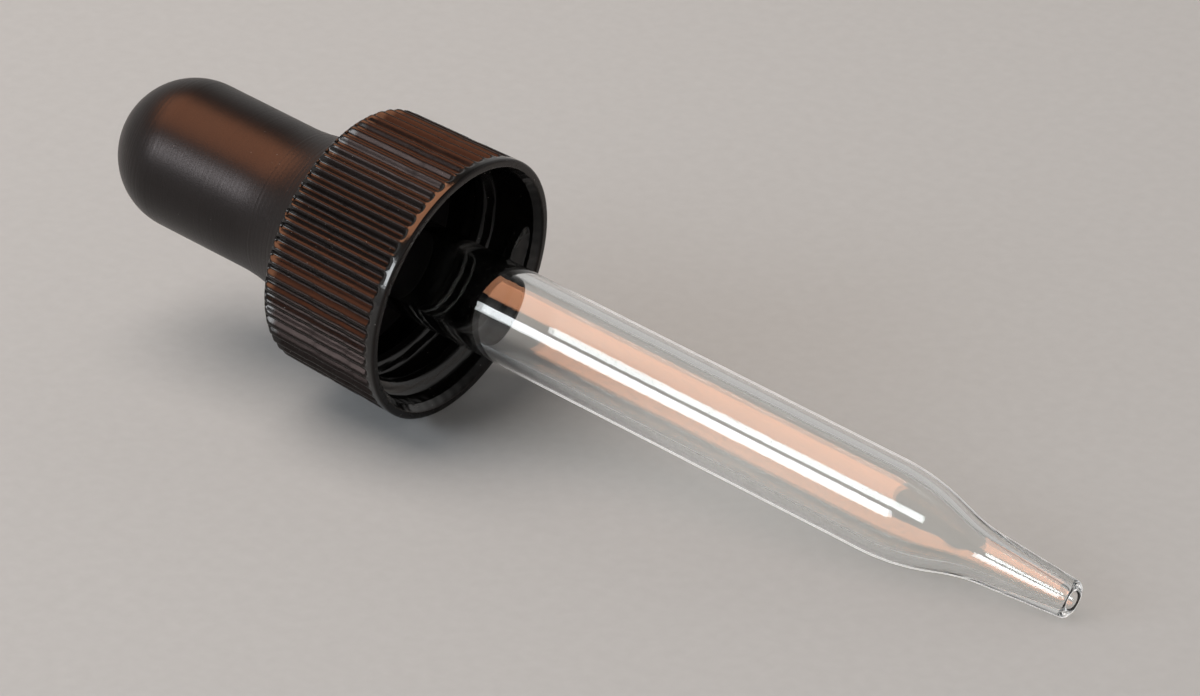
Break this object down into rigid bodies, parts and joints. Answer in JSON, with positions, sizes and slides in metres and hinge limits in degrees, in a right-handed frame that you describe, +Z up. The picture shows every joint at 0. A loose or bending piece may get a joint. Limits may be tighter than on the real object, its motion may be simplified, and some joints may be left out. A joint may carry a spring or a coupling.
{
  "type": "bottle dropper",
  "caption": "Dropper closure for a small bottle: rubber bulb, ribbed screw cap and glass pipette with a drawn nozzle.",
  "frame": {"origin": "centre of the bounding box, on the surface that the dropper lies on", "axes": "+X along the dropper seen from above, from the bulb to the tip; +Z up. The dropper lies on the rim of the cap's mouth and the pipette's tip, so its own axis is in the XZ plane and points 9.47 degrees below +X"},
  "size_m": [0.0814, 0.0202, 0.0212],
  "materials": {
    "clear_glass": "clear fire-polished borosilicate tube",
    "black_rubber": "satin moulded rubber with faint turned mould rings",
    "black_plastic": "semi-gloss moulded plastic, polished lip"
  },
  "bodies": {
    "pipette": {"glass_pipette": "clear_glass"},
    "cap": {"screw_cap": "black_plastic"},
    "bulb": {"rubber_bulb": "black_rubber"}
  },
  "joints": [
    {"name": "cap_spin", "type": "hinge", "parent": "pipette", "child": "cap", "pos_m": [-0.01082, 0, 0.0099], "axis": [0.9864, 0, -0.1645], "continuous": true},
    {"name": "bulb_squeeze", "type": "slide", "parent": "pipette", "child": "bulb", "axis": [-0.1645, 0, -0.9864], "range_m": [0, 0.004], "stiffness_N_per_m": 600, "deforming": ["rubber_bulb"]}
  ]
}
